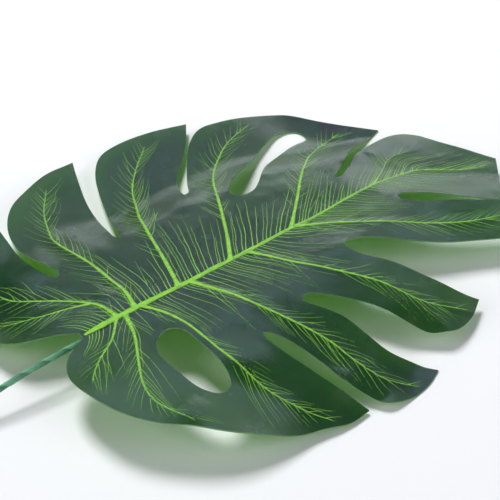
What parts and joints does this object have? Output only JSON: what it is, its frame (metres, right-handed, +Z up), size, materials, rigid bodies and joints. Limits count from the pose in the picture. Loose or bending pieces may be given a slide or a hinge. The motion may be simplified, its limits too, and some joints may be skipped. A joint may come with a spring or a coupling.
{
  "type": "artificial monstera leaf",
  "caption": "Artificial monstera leaf lying face up: a stiff printed fabric blade with cut lobes and holes, and a bendable wired stem taped under its midrib.",
  "frame": {"origin": "on the table, under the middle of the lying leaf's bounding box", "axes": "+X along the midrib from the stem's cut end to the leaf's tip, +Y to the leaf's left side, +Z up from the table"},
  "size_m": [0.2772, 0.1862, 0.0185],
  "materials": {
    "blade": "dark green printed stiffened polyester with light green veins",
    "sleeve": "satin green plastic wrap",
    "wire": "plain drawn steel",
    "tape": "plain green fabric tape"
  },
  "bodies": {
    "root": {"leaf_blade": "blade", "stem_sleeve": "sleeve", "stem_wire": "wire", "rib_tape": "tape"}
  },
  "joints": []
}
